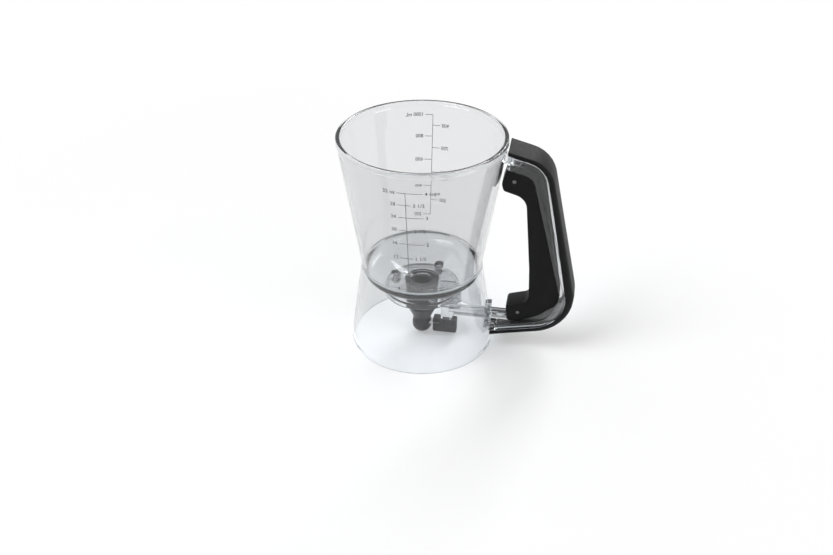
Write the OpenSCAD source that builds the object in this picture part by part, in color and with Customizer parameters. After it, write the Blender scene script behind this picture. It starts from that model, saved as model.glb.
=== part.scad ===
// Hand-held batter dispenser: a clear cup on a clear flared base, with a trigger
// handle that draws a gate blade out of a silicone nozzle under the cup.
// The origin is the centre of the foot ring, on the surface that it stands on.
// The cup's axis is Z and the handle points along +X.

/* [Cup] */
// Height of the rim above the foot
rim_z = 180; // [176:1:186]
// Outside radius of the rim
rim_r = 64.5; // [63:0.5:64.5]
// Outside radius of the cup at the waist
waist_r = 48.2; // [47.2:0.2:49.2]
// Height of the shoulder that rests on the waist gasket
waist_z = 70; // [68:1:73]
// Thickness of the cup's wall
cup_wall = 2.4; // [2:0.1:2.8]
// Width of the flat ring round the top of the rim
lip_w = 3.6; // [3.2:0.1:4]
// Height of the thick band round the rim
lip_h = 4; // [3:0.5:5]
// Height of the floor where its slope would meet the wall
floor_z = 63.5; // [62:0.5:65]
// Height of the floor at the edge of the outlet
outlet_z = 53.5; // [52.5:0.5:55]
// Radius of the outlet in the floor
outlet_r = 8; // [7:0.5:9]
// Radius of the round corner between the wall and the floor
floor_fillet = 8; // [5:1:10]

/* [Base skirt] */
// Outside radius of the foot
foot_r = 58.5; // [57.5:0.5:59]
// Thickness of the skirt's wall
skirt_wall = 2.4; // [2:0.1:2.6]
// Depth of the cup's plug inside the skirt
plug_depth = 7.5; // [6:0.5:9]
// Height of the straight band inside the foot
foot_land_h = 3; // [2.5:0.5:3.5]
// Thickness of the gasket under the cup's shoulder
gasket_t = 1; // [0.8:0.1:1.5]

/* [Nozzle and valve] */
// Radius of the nozzle's bore at the tip
spout_r = 3; // [2.4:0.1:3.2]
// Largest radius of the bulb at the nozzle's lower end
bulb_r = 8; // [7.7:0.1:8.4]
// Height of the middle of the bulb
bulb_z = 9.5; // [9.5:0.5:10.5]
// Outside radius of the nozzle where it passes through the plate
nozzle_top_r = 10; // [9.5:0.5:10.5]
// Radius of the nozzle's shoulder, which snaps under the plate
shoulder_r = 13; // [12.5:0.1:13.4]
// Height where the nozzle starts to narrow
cone_z = 29; // [28:0.5:31]
// Outside radius of the nozzle at its neck
neck_r = 7; // [6.8:0.1:7.4]
// Height of the neck above the foot
neck_z = 16.5; // [16:0.5:17.5]
// Radius of the plate that holds the nozzle
plate_r = 30; // [29:1:32]
// Thickness of the plate
plate_t = 2.5; // [2:0.1:3]
// Height of the boss round the outlet, below the edge of the floor
outlet_boss_h = 3.5; // [3:0.5:4]
// Radius of the circle of plate screws
plate_screw_circle = 22; // [20:0.5:24]
// Thickness of the gate blade
blade_t = 1.4; // [1.2:0.1:1.6]
// Height of the gate blade's middle
blade_z = 12.2; // [11.8:0.1:12.6]

/* [Pull link] */
// Height of the middle of the link's bar, where it passes through the skirt
link_z = 25.5; // [25:0.5:26]
// Height of the middle of the link's runner, in the plate's rails
runner_z = 36; // [35.5:0.5:36.5]
// Height of the link's bar
link_h = 6; // [5:0.5:6]
// Width of the link's bar
link_w = 8; // [7:0.5:8]
// Clearance all round the link in its guides
guide_gap = 0.3; // [0.2:0.05:0.4]

/* [Handle] */
// Drop of the handle's top line below the rim, at the cup
handle_drop = 5.8; // [5:0.2:7]
// Reach of the handle's upper corner beyond the rim
shoulder_reach = 29.4; // [27.4:0.5:31.4]
// Drop of the handle's upper corner below the rim
shoulder_drop = 14.2; // [13.2:0.5:15.7]
// Reach of the handle's lower corner beyond the rim
corner_reach = 56; // [54:0.5:58]
// Height of the lower corner of the handle
corner_z = 28.6; // [27:0.5:30]
// Height of the lower arm where it meets the skirt
arm_z = 15; // [14:0.5:15.5]
// Radius of the bend at the upper corner
shoulder_bend = 22; // [18:1:24]
// Radius of the bend at the lower corner
corner_bend = 28; // [24:1:30]
// Width of the clear frame
frame_w = 23; // [22:0.5:25]
// Thickness of the frame's side flanges
flange_t = 2.1; // [1.8:0.1:2.3]
// Thickness of the frame's outer web
web_t = 2.2; // [1.8:0.1:2.5]
// Thickness of the soft skin over the web
soft_skin = 2.3; // [2:0.1:2.4]
// Overhang of the soft grip on each side of the frame
grip_side = 2.5; // [1.5:0.25:3.5]

/* [Trigger] */
// Reach of the pivot pin beyond the rim
pivot_reach = 5.9; // [5.5:0.2:6.9]
// Drop of the pivot pin below the rim
pivot_drop = 29.1; // [28.1:0.2:30.1]
// Distance from the handle's lower corner back to the link pin
link_pin_setback = 41.7; // [40.7:0.5:42.7]
// Height of the link pin above the middle of the link
link_pin_rise = 8.5; // [8:0.1:9]
// Radius of both pins
pin_r = 1.5; // [1.4:0.1:1.6]
// Gap between the trigger and the frame on each side
trigger_gap = 0.6; // [0.6:0.1:1.1]
// Thickness of the trigger's finger wall
trigger_wall = 2.2; // [2:0.1:2.4]
// Thickness of the trigger's two cheeks
cheek_t = 2.5; // [2.2:0.1:2.7]
// Running clearance of a pin in its bore
pin_play = 0.05; // [0.02:0.01:0.09]

/* [Hidden] */
$fn = 96;
EPS = 0.5;
FIT = 0.1;
SEAT = 0.15;

// A flat outline of [x, z] points, drawn in the XZ plane and w thick about y = 0
module side_plate(points, w) {
  rotate([90, 0, 0]) linear_extrude(height = w, center = true) polygon(points);
}

// The same outline as two plates between y = inner and y = outer on both sides
module side_pair(points, inner, outer) {
  for (side = [-1, 1])
    translate([0, side * (inner + outer) / 2, 0]) side_plate(points, outer - inner);
}

// A round bar of radius r along Y, w long about y = 0, at the point p = [x, z]
module cross_bar(p, r, w) {
  translate([p[0], 0, p[1]]) rotate([90, 0, 0]) cylinder(h = w, r = r, center = true);
}

// A block between two corners
module block(low, high) {
  translate(low) cube(high - low);
}

function unit(v) = v / norm(v);
function polar(r, a) = [r * cos(a), r * sin(a)];
function on_line(a, b, n) = [for (i = [0:n - 1]) a + (b - a) * i / n];

// The points of the arc of radius r that rounds the corner p between a and b
function corner_arc(a, p, b, r, n) = r <= 0 ? [p] :
  let (
    u = unit(a - p),
    v = unit(b - p),
    half = acos(u * v) / 2,
    centre = p + unit(u + v) * r / sin(half),
    first = p + u * r / tan(half) - centre,
    last = p + v * r / tan(half) - centre,
    start = atan2(first[1], first[0]),
    turn = (atan2(last[1], last[0]) - start + 540) % 360 - 180
  )
  [for (i = [0:n]) centre + polar(r, start + turn * i / n)];

// An open line through [x, z, radius] corners, each rounded with n steps
function rounded_line(corners, n = 6) = let (last = len(corners) - 1) [
  for (i = [0:last])
    let (c = corners[i], p = [c[0], c[1]])
      each (i == 0 || i == last) ? [p] : corner_arc(
        [corners[i - 1][0], corners[i - 1][1]], p, [corners[i + 1][0], corners[i + 1][1]], c[2], n
      )
];

// The unit normal on the left of a line of points, at its point i
function left_normal(line, i) =
  let (d = unit(line[min(i + 1, len(line) - 1)] - line[max(i - 1, 0)])) [-d[1], d[0]];
function shifted(line, i, d) = line[i] + left_normal(line, i) * d;
function shifted_line(line, d) = [for (i = [0:len(line) - 1]) shifted(line, i, d)];
function reversed(line) = [for (i = [len(line) - 1:-1:0]) line[i]];

// A closed solid through rings of equal length. ends lists the faces that close a
// ring, as the numbers of its points
module skin(rings, ends) {
  sides = len(rings[0]);
  last = len(rings) - 1;
  polyhedron(
    points = [for (ring = rings) each ring],
    faces = concat(
      [for (face = ends) reversed(face)],
      [for (face = ends) [for (k = face) last * sides + k]],
      [
        for (i = [0:last - 1], k = [0:sides - 1])
          let (a = i * sides + k, b = i * sides + (k + 1) % sides)
            each [[a, b, b + sides], [a, b + sides, a + sides]]
      ]
    )
  );
}

// ---- Where the handle's pieces lie ----
handle_top_z = rim_z - handle_drop;
hook_x = rim_r + 0.4;
hook_t = 2.2;
shoulder_x = rim_r + shoulder_reach;
shoulder_z = rim_z - shoulder_drop;
corner_x = rim_r + corner_reach;
pivot = [rim_r + pivot_reach, rim_z - pivot_drop];
link_pivot = [corner_x - link_pin_setback, link_z + link_pin_rise];
grip_w = frame_w + 2 * grip_side;
trigger_w = frame_w - 2 * flange_t - 2 * trigger_gap;
cheek_in = trigger_w / 2 - cheek_t;
washer_t = 0.5;
lug_out = cheek_in - washer_t - 2 * FIT;
lug_in = lug_out - 2.6;

// ---- Cup ----
cup_foot_z = waist_z + 2.5;
lip_z = rim_z - lip_h;
wall_slope = (rim_r - 0.5 - waist_r) / (lip_z - cup_foot_z);
floor_r = waist_r - cup_wall;
floor_slope = (floor_z - outlet_z) / (floor_r - outlet_r);
plug_r = waist_r - skirt_wall - FIT;
boss_r = 14;
boss_z = outlet_z - outlet_boss_h;
lug_neck_w = 7;
lug_head_w = 11;
lug_head_t = 2.2;
lug_top_z = handle_top_z - 3.9;
lug_bottom_z = lug_top_z - 7.5;
screw_boss_r = 4;
screw_r = 1.5;
function cup_r(z) = waist_r + max(0, z - cup_foot_z) * wall_slope;
function floor_height(r) = outlet_z + (r - outlet_r) * floor_slope;

module cup_turned() {
  inner_top = cup_r(lip_z) - cup_wall;
  mouth_r = rim_r - lip_w;
  corner = corner_arc([floor_r, cup_foot_z], [floor_r, floor_z], [outlet_r, outlet_z], floor_fillet, 7);
  plug_bottom = waist_z - plug_depth;
  under = corner_arc(
    [plug_r, waist_z], [plug_r, plug_bottom - 1.5], [boss_r, floor_height(boss_r) - cup_wall], 7, 6
  );
  rotate_extrude() polygon(concat(
    [[outlet_r, boss_z], [boss_r, boss_z], [boss_r, floor_height(boss_r) - cup_wall]],
    reversed(under),
    [[plug_r, waist_z], [waist_r, waist_z], [waist_r, cup_foot_z], [rim_r - 0.5, lip_z]],
    [[rim_r, lip_z + 0.5], [rim_r, rim_z - 0.6], [rim_r - 0.6, rim_z]],
    [[mouth_r + 0.6, rim_z], [mouth_r, rim_z - 0.6], [mouth_r, lip_z + 0.5]],
    [[inner_top, lip_z - 1.5], [floor_r, cup_foot_z]],
    corner,
    [[outlet_r, outlet_z]]
  ));
}

module at_plate_screws() {
  for (a = [60, 180, 300]) rotate([0, 0, a]) translate([plate_screw_circle, 0, 0]) children();
}

module cup() {
  boss_top = floor_height(plate_screw_circle) - cup_wall / 2;
  color("lightsteelblue", 0.4) difference() {
    union() {
      cup_turned();
      at_plate_screws() translate([0, 0, plate_top_z]) cylinder(h = boss_top - plate_top_z, r = screw_boss_r);
      // The T-shaped lug that the frame hooks over
      block([cup_r(lug_bottom_z) - cup_wall / 2, -lug_neck_w / 2, lug_bottom_z],
            [hook_x + hook_t + SEAT + EPS, lug_neck_w / 2, lug_top_z]);
      block([hook_x + hook_t + SEAT, -lug_head_w / 2, lug_bottom_z],
            [hook_x + hook_t + SEAT + lug_head_t, lug_head_w / 2, lug_top_z]);
    }
    at_plate_screws() translate([0, 0, plate_top_z - EPS]) cylinder(h = 5 + EPS, r = screw_r);
  }
}

module waist_gasket() {
  color("slategray") rotate_extrude()
    translate([plug_r + SEAT, waist_z - gasket_t]) square([waist_r - plug_r - SEAT, gasket_t]);
}

// ---- Base skirt ----
skirt_top_z = waist_z - gasket_t;
function skirt_r(z) = foot_r - z * (foot_r - waist_r) / skirt_top_z;
function skirt_side(shift, low, high) = [for (z = [low, high]) [skirt_r(z) + shift, z]];
// The link's bush, with the skirt's slot round it and the handle's pad under it
bush_t = 2;
bush_low = link_z - link_h / 2 - guide_gap;
bush_high = link_z + link_h / 2 + guide_gap;
bush_in = link_w / 2 + guide_gap;
bush_out = bush_in + bush_t;
arm_x = skirt_r(arm_z - 1) + 0.8;
pad_w = 18;
pad_z = [arm_z - 1, bush_low - bush_t - 2 * FIT];
screw_head_r = 2.8;
frame_screw_y = 5.5;
frame_screw_z = pad_z[1] - screw_head_r;

module skirt_turned() {
  rotate_extrude() polygon(concat(
    skirt_side(0, 0, skirt_top_z),
    reversed(skirt_side(-skirt_wall, foot_land_h + 1, skirt_top_z)),
    [[foot_r - skirt_wall, foot_land_h], [foot_r - skirt_wall, 0]]
  ));
}

module base_skirt() {
  color("lightsteelblue", 0.4) difference() {
    union() {
      skirt_turned();
      // The pad that the handle's lower arm is screwed to
      intersection() {
        block([arm_x - 8, -pad_w / 2, pad_z[0]], [arm_x, pad_w / 2, pad_z[1]]);
        difference() {
          cylinder(h = skirt_top_z, r = foot_r + 10);
          translate([0, 0, -EPS]) cylinder(h = skirt_top_z, r = skirt_r(pad_z[1]) - skirt_wall / 2);
        }
      }
    }
    block([foot_r - 20, -bush_out, bush_low - bush_t], [foot_r + 10, bush_out, bush_high + bush_t]);
    for (side = [-1, 1]) translate([foot_r - 20, side * frame_screw_y, frame_screw_z])
      rotate([0, 90, 0]) cylinder(h = 30, r = screw_r);
  }
}

// ---- Nozzle and valve ----
flange_h = 2;
plate_top_z = boss_z - flange_h;
plate_z = plate_top_z - plate_t;
throat_r = 4.4;
bulb_bend = 6.8;
bulb_end_a = -70;
blade_w = 8;
pocket_gap = 0.25;
blade_tip_x = -3.6;
pocket_end_x = blade_tip_x - 0.4;
function bulb_side() = [
  for (i = [0:5]) [bulb_r - bulb_bend, bulb_z] + polar(bulb_bend, i * bulb_end_a / 5)
];

module nozzle() {
  tip = [bulb_r - bulb_bend, bulb_z] + polar(bulb_bend, bulb_end_a);
  color("dimgray") difference() {
    rotate_extrude() polygon(concat(
      [[outlet_r, boss_z], [boss_r - FIT, boss_z], [boss_r - FIT, plate_top_z]],
      [[nozzle_top_r, plate_top_z], [nozzle_top_r, plate_z - FIT], [shoulder_r - 1, plate_z - FIT]],
      [[shoulder_r, plate_z - 1.5], [shoulder_r, cone_z]],
      corner_arc([shoulder_r, cone_z], [neck_r, neck_z], [bulb_r, bulb_z + 2.5], 6, 4),
      bulb_side(),
      [[spout_r, tip[1]], [spout_r, blade_z + 3], [throat_r, blade_z + 6]],
      [[throat_r, neck_z + 5], [outlet_r, cone_z + 6]]
    ));
    // The pocket that the gate blade slides in
    block([pocket_end_x, -blade_w / 2 - pocket_gap, blade_z - blade_t / 2 - pocket_gap],
          [bulb_r + EPS, blade_w / 2 + pocket_gap, blade_z + blade_t / 2 + pocket_gap]);
  }
}

rail_x = [15, 32];
rail_t = 2;
rail_lip = 1;
rail_bottom_z = runner_z - link_h / 2 - guide_gap - rail_t;
leg_w = link_w - 2 * rail_lip - 2 * guide_gap + 0.6;

module valve_plate() {
  rail_in = link_w / 2 + guide_gap;
  color("lightsteelblue", 0.4) difference() {
    union() {
      translate([0, 0, plate_z]) cylinder(h = plate_t, r = plate_r);
      // The rim below the plate
      difference() {
        translate([0, 0, plate_z - 3]) cylinder(h = 3 + EPS, r = plate_r);
        translate([0, 0, plate_z - 3 - EPS]) cylinder(h = 3 + 3 * EPS, r = plate_r - 2);
      }
      // The two rails that carry the inner end of the link
      for (side = [-1, 1]) {
        block([rail_x[0], side > 0 ? rail_in : -rail_in - rail_t, rail_bottom_z],
              [rail_x[1], side > 0 ? rail_in + rail_t : -rail_in, plate_z + EPS]);
        block([rail_x[0], side > 0 ? rail_in - rail_lip : -rail_in - EPS, rail_bottom_z],
              [rail_x[1], side > 0 ? rail_in + EPS : -rail_in + rail_lip, rail_bottom_z + rail_t]);
      }
    }
    translate([0, 0, plate_z - EPS]) cylinder(h = plate_t + 2 * EPS, r = nozzle_top_r + FIT);
    at_plate_screws() translate([0, 0, plate_z - EPS]) cylinder(h = plate_t + 2 * EPS, r = screw_r);
    block([rail_x[0] - EPS, -rail_in, plate_z - 3 - EPS], [plate_r + EPS, rail_in, plate_z]);
  }
}

module screw(length, head_h = 2) {
  cylinder(h = length, r = screw_r);
  translate([0, 0, -head_h]) difference() {
    cylinder(h = head_h, r = screw_head_r);
    // A hexagonal drive
    translate([0, 0, -EPS]) cylinder(h = head_h / 2 + EPS, r = 1.3, $fn = 6);
  }
}

module plate_screws() {
  color("silver") at_plate_screws() translate([0, 0, plate_z]) screw(plate_t + 4.5);
}

// ---- Handle frame ----
end_t = 4;
screw_hole_depth = 3.5;
shoulder = corner_arc([hook_x, handle_top_z], [shoulder_x, shoulder_z], [corner_x, corner_z], shoulder_bend, 6);
corner = corner_arc([shoulder_x, shoulder_z], [corner_x, corner_z], [arm_x, arm_z], corner_bend, 9);
back_line = concat(
  on_line([hook_x, handle_top_z], shoulder[0], 3),
  [for (i = [0:5]) shoulder[i]],
  on_line(shoulder[6], corner[0], 6),
  [for (i = [0:8]) corner[i]],
  on_line(corner[9], [arm_x, arm_z], 4),
  [[arm_x, arm_z]]
);
// Where each stretch of the back line starts, as the number of its point
SHOULDER = 3;
STRAIGHT = 9;
CORNER = 15;
ARM = 24;
END = 28;
stations = [0:END];
// Thickness of the grip, depth of the flanges and set-back of the trigger, from the back line
grip_depths = [[0, soft_skin], [SHOULDER, 2.6], [STRAIGHT, 4], [CORNER, 6.5], [ARM, 3], [END, soft_skin]];
flange_depths = [
  [0, 12.3], [SHOULDER, 12.5], [STRAIGHT, 11], [CORNER, 5], [CORNER + 3, 7], [ARM, 5.2], [END, 4.6]
];
trigger_depths = [[0, 8], [SHOULDER, 7], [STRAIGHT, 4], [CORNER, 4.3], [CORNER + 2, 5.5]];
function grip_depth(i) = lookup(i, grip_depths);
function web_depth(i) = max(0, grip_depth(i) - soft_skin);
web_outer = [for (i = stations) shifted(back_line, i, web_depth(i))];
web_inner = [for (i = stations) shifted(back_line, i, web_depth(i) - web_t)];
flange_edge = [for (i = stations) shifted(back_line, i, -lookup(i, flange_depths))];
lug_r = 4.2;

module handle_frame() {
  flange_in = frame_w / 2 - flange_t;
  hook_bottom = [hook_x, lug_bottom_z - 1];
  lug_web_z = handle_top_z - web_t - 1;
  color("lightsteelblue", 0.45) difference() {
    union() {
      side_plate(concat(web_outer, reversed(web_inner)), frame_w);
      side_pair(concat(web_outer, reversed(flange_edge)), flange_in, frame_w / 2);
      // The end wall that hooks on the cup's lug
      side_plate([
        hook_bottom, [hook_x, handle_top_z], [hook_x + hook_t, handle_top_z - 0.6],
        [hook_x + hook_t, hook_bottom[1]]
      ], frame_w);
      // The end wall on the skirt's pad
      side_plate([
        [arm_x, arm_z + 0.2], [arm_x, pad_z[1]], [arm_x + end_t, pad_z[1]], [arm_x + end_t, arm_z + 1]
      ], frame_w);
      // The two lugs that hold the pivot pin
      side_pair([
        pivot + [-lug_r, 1], [pivot[0] - 0.2, lug_bottom_z], [pivot[0] - 0.2, lug_web_z],
        [pivot[0] + 8, lug_web_z - 2], [pivot[0] + 8, lug_bottom_z], pivot + [lug_r, -1]
      ], lug_in, lug_out);
      for (side = [-1, 1]) translate([0, side * (lug_in + lug_out) / 2, 0])
        cross_bar(pivot, lug_r, lug_out - lug_in);
    }
    // The square ends at the cup and at the skirt
    block([hook_x - 10, -frame_w, lug_bottom_z - 10], [hook_x, frame_w, handle_top_z + 5]);
    block([arm_x - 10, -frame_w, arm_z - 5], [arm_x, frame_w, pad_z[1] + 5]);
    // The slot that slides down over the lug's neck
    block([hook_x - EPS, -lug_neck_w / 2 - SEAT, hook_bottom[1] - EPS],
          [hook_x + hook_t + EPS, lug_neck_w / 2 + SEAT, lug_top_z + SEAT]);
    cross_bar(pivot, pin_r, frame_w);
    for (side = [-1, 1]) translate([arm_x - EPS, side * frame_screw_y, frame_screw_z])
      rotate([0, 90, 0]) cylinder(h = screw_hole_depth + EPS, r = screw_r);
  }
}

module frame_screws() {
  wall_x = skirt_r(frame_screw_z) - skirt_wall;
  head_x = wall_x - 0.9;
  color("silver") for (side = [-1, 1]) translate([head_x, side * frame_screw_y, frame_screw_z])
    rotate([0, 90, 0]) screw(arm_x + screw_hole_depth - 0.5 - head_x);
}

// The grip's section at station i, with its round edges and its channel over the frame
function grip_ring(i) =
  let (
    depth = grip_depth(i),
    half = grip_w / 2,
    bend = min(depth - 0.4, 4.5),
    inner = frame_w / 2 + FIT,
    seat = web_depth(i) + SEAT,
    arc = [for (a = [0:22.5:90]) [depth - bend + bend * sin(a), half - bend + bend * cos(a)]],
    section = concat(
      [[0, half]], arc, [[depth + 0.5, 0]], [for (p = reversed(arc)) [p[0], -p[1]]], [[0, -half]],
      [[0, -inner], [seat, -inner], [seat, inner], [0, inner]]
    )
  )
  [for (p = section) let (q = shifted(back_line, i, p[0])) [q[0], p[1], q[1]]];

module grip() {
  // The points of a ring: 0 to 12 round the outside, then 13 to 16 round the channel
  ends = concat(
    [[15, 16, 0], [15, 5, 6, 7, 14]],
    [for (k = [0:4]) [15, k, k + 1]],
    [for (k = [7:12]) [14, k, k + 1]]
  );
  color("black") skin([for (i = stations) grip_ring(i)], ends);
}

// ---- Pull link ----
bush_x = [skirt_r(bush_low) - skirt_wall - 1.5, skirt_r(bush_low) + 1.6];
leg_x = [16, 30];
leg_foot_x = [16, 24.5];
link_head_w = 2 * (cheek_in - washer_t - 3 * FIT);
link_end_x = link_pivot[0] + 5;
slot_gap = 0.1;
slot_z = [link_pivot[1] - 0.5, link_pivot[1] + 1.2];
arm_w = 8;
arm_low = blade_z - 8;
arm_high = blade_z + 4.3;
arm_start_x = bulb_r + 1.4;
arm_end_x = 29;
blade_end_x = 15;
leg_foot_z = arm_high + FIT;
// The leg's tongue and the pin that holds it in the arm
tongue_x = [leg_foot_x[0] + 1.5, leg_foot_x[1] - 1.5];
tongue_w = 4;
tongue_low = blade_z - 4;
arm_pin_r = 1.25;
arm_pin_at = [(tongue_x[0] + tongue_x[1]) / 2, blade_z];

module link_bush() {
  color("lightslategray") difference() {
    union() {
      block([bush_x[0], FIT - bush_out, bush_low - bush_t + FIT],
            [bush_x[1], bush_out - FIT, bush_high + bush_t - FIT]);
      // The flange outside the skirt
      difference() {
        block([skirt_r(bush_high + 2 * bush_t), -bush_out - 2, bush_low - bush_t],
              [bush_x[1], bush_out + 2, bush_high + 2 * bush_t]);
        skirt_outside(SEAT);
      }
    }
    block([bush_x[0] - EPS, -bush_in, bush_low], [bush_x[1] + EPS, bush_in, bush_high]);
  }
}

// The whole round of the skirt's outside, grown by a clearance
module skirt_outside(grow) {
  rotate_extrude() polygon(concat(
    [[0, 0]], skirt_side(grow, 0, skirt_top_z), [[0, skirt_top_z]]
  ));
}

module pull_link() {
  bar_low = link_z - link_h / 2;
  bar_high = link_z + link_h / 2;
  runner_low = runner_z - link_h / 2;
  runner_high = runner_z + link_h / 2;
  head_start_x = link_pivot[0] - 5;
  riser_x = [head_start_x, link_pivot[0] - 1];
  head_low = link_pivot[1] - 3.7;
  head_high = link_pivot[1] + 4.5;
  color("lightsteelblue", 0.45) difference() {
    union() {
      // The runner between the plate's rails, and the leg that hangs from it
      block([leg_x[0], -link_w / 2, runner_low], [leg_x[1], link_w / 2, runner_high]);
      side_plate([
        [leg_x[0], runner_high], [leg_x[1], runner_high], [leg_x[1], runner_low],
        [leg_foot_x[1], leg_foot_z], [leg_foot_x[0], leg_foot_z]
      ], leg_w);
      block([tongue_x[0], -tongue_w / 2, tongue_low], [tongue_x[1], tongue_w / 2, leg_foot_z + EPS]);
      // The bar that runs out of the skirt and turns up to the trigger's pin
      block([leg_foot_x[1] - 2, -link_w / 2, bar_low], [riser_x[1], link_w / 2, bar_high]);
      block([riser_x[0], -link_w / 2, bar_low], [riser_x[1], link_w / 2, head_low + 1]);
      // The head round the link pin
      side_plate(concat(
        [[head_start_x, head_low]],
        corner_arc([head_start_x, head_low], [link_end_x, head_low], [link_end_x, head_high], 3, 4),
        corner_arc([link_end_x, head_low], [link_end_x, head_high], [head_start_x, head_high], 3, 4),
        [[head_start_x, head_high]]
      ), link_head_w);
    }
    // The upright slot that the link pin works in
    for (z = slot_z) cross_bar([link_pivot[0], z], pin_r + slot_gap, 2 * link_head_w);
    block([link_pivot[0] - pin_r - slot_gap, -link_head_w, slot_z[0]],
          [link_pivot[0] + pin_r + slot_gap, link_head_w, slot_z[1]]);
    cross_bar(arm_pin_at, arm_pin_r, 2 * tongue_w);
  }
}

module gate_arm() {
  tail_in = blade_w / 2 - 1 + FIT / 2;
  color("dimgray") difference() {
    block([arm_start_x, -arm_w / 2, arm_low], [arm_end_x, arm_w / 2, arm_high]);
    // The slot that holds the blade's tail
    block([arm_start_x - EPS, -tail_in, blade_z - blade_t / 2 - FIT / 2],
          [blade_end_x + FIT, tail_in, blade_z + blade_t / 2 + FIT / 2]);
    // The pocket that the tongue of the link's leg drops into
    block([tongue_x[0] - FIT, -tongue_w / 2 - FIT, tongue_low - FIT],
          [tongue_x[1] + FIT, tongue_w / 2 + FIT, arm_high + EPS]);
    // The pin's hole, closed at its inner end
    translate([0, 1, 0]) cross_bar(arm_pin_at, arm_pin_r, arm_w);
  }
}

module gate_blade() {
  color("silver") difference() {
    block([blade_tip_x, -blade_w / 2, blade_z - blade_t / 2],
          [blade_end_x, blade_w / 2, blade_z + blade_t / 2]);
    block([arm_start_x - FIT, blade_w / 2 - 1 - FIT / 2, blade_z - blade_t],
          [blade_end_x + EPS, blade_w / 2 + EPS, blade_z + blade_t]);
    block([arm_start_x - FIT, -blade_w / 2 - EPS, blade_z - blade_t],
          [blade_end_x + EPS, -blade_w / 2 + 1 + FIT / 2, blade_z + blade_t]);
  }
}

module arm_pin() {
  color("silver") translate([0, 0.4, 0]) cross_bar(arm_pin_at, arm_pin_r, arm_w - 1.4);
}

// ---- Trigger ----
// The outer corners are rounder than the wall is thick, so the hollow has round corners too
finger_bend = trigger_wall + 1;
// The corners of the finger side: its places from the pivot pin, then from the link pin
upper_corners = [[-9.4, -2.9, 8], [-7.8, -8.6, finger_bend], [9.6, -13.9, 12]];
lower_corners = [
  [6.8, 41, 30], [8.1, 11.6, 5], [-9.9, 6.4, finger_bend], [-8.5, -9.3, finger_bend],
  [0.2, -8.9, 20], [16.7, -1.7, 14], [26.3, 7.1, 0]
];
function placed(corners, p) = [for (c = corners) c + [p[0], p[1], 0]];
finger_line = rounded_line(concat(
  [[hook_x - 0.7, lug_bottom_z - 3.5, 0]], placed(upper_corners, pivot), placed(lower_corners, link_pivot)
));
trigger_back = [for (i = [CORNER + 2:-1:2]) shifted(back_line, i, -lookup(i, trigger_depths))];
trigger_top = [pivot[0], lug_bottom_z - 1.2];

module trigger() {
  open_back = [for (i = [CORNER:-1:2]) shifted(back_line, i, 1 - lookup(i, trigger_depths))];
  open_top = [pivot[0] - lug_r, lug_top_z];
  inside = shifted_line(finger_line, trigger_wall);
  last = len(inside) - 1;
  open_foot = inside[last] + 4 * unit(inside[last] - inside[last - 1]);
  color([0.12, 0.12, 0.13]) difference() {
    side_plate(concat(finger_line, trigger_back, [trigger_top]), trigger_w);
    side_plate(concat(inside, [open_foot], open_back, [open_top]), 2 * cheek_in);
    cross_bar(pivot, pin_r + pin_play, 2 * trigger_w);
    cross_bar(link_pivot, pin_r, 2 * trigger_w);
    // The notch in the foot that the link passes through
    block([link_pivot[0] - 14, -link_w / 2 - 2 * guide_gap, link_z - link_h],
          [link_pivot[0] + 1, link_w / 2 + 2 * guide_gap, link_z + link_h / 2 + 1]);
  }
}

module pivot_pin() {
  color("silver") cross_bar(pivot, pin_r, trigger_w - 0.4);
}

module link_pin() {
  color("silver") cross_bar(link_pivot, pin_r, trigger_w - 0.4);
}

module washer_pair(p, inner_face) {
  for (side = [-1, 1]) translate([0, side * (inner_face + cheek_in) / 2, 0]) difference() {
    cross_bar(p, pin_r + 1.9, cheek_in - inner_face - 2 * FIT);
    cross_bar(p, pin_r + FIT, trigger_w);
  }
}

module pivot_washers() {
  color("white") washer_pair(pivot, lug_out);
}

module link_washers() {
  color("white") washer_pair(link_pivot, link_head_w / 2);
}

// The torsion spring: a coil round the pivot pin with one arm on the frame's web
// and one arm inside the trigger's finger wall
wire_r = 0.5;
coil_r = pin_r + 1.45;
coil_pitch = 1.12;
web_arm_a = 40;
finger_arm_a = -42;
// The turn between the two arms, past the whole turns that fit between the lugs
arm_turn = web_arm_a - finger_arm_a - 180;
coil_turns = floor(2 * (lug_in - wire_r - 0.3) / coil_pitch - arm_turn / 360);
web_arm = 12;
finger_arm = 11;

module return_spring() {
  span = 360 * coil_turns + arm_turn;
  start = finger_arm_a + 90;
  half = coil_pitch * span / 720;
  coil = [
    for (i = [0:60]) let (a = start - i * span / 60, p = pivot + polar(coil_r, a))
      [p[0], -half + 2 * half * i / 60, p[1]]
  ];
  end_a = start - span;
  first = coil[0] + finger_arm * [sin(start), 0, -cos(start)];
  last = coil[60] + web_arm * [sin(end_a), 0, -cos(end_a)];
  line = concat([first], coil, [last]);
  rings = [
    for (i = [0:len(line) - 1])
      let (
        t = unit(line[min(i + 1, len(line) - 1)] - line[max(i - 1, 0)]),
        u = unit(cross(t, [0, 1, 0])),
        v = cross(t, u)
      )
      [for (k = [0:7]) line[i] + wire_r * (cos(45 * k) * u + sin(45 * k) * v)]
  ];
  color("silver") skin(rings, [[for (k = [0:7]) k]]);
}

cup();
waist_gasket();
base_skirt();
nozzle();
valve_plate();
plate_screws();
handle_frame();
frame_screws();
grip();
link_bush();
pivot_pin();
pivot_washers();
return_spring();
trigger();
link_pin();
link_washers();
pull_link();
gate_arm();
arm_pin();
gate_blade();
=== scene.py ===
"""The looks of a clear batter dispenser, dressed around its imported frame.

Shapes are worked out in millimetres in the frame's own axes, and solid() writes them in metres.
"""

import bmesh
import bpy
import numpy as np
from mathutils import Matrix, Vector


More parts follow.
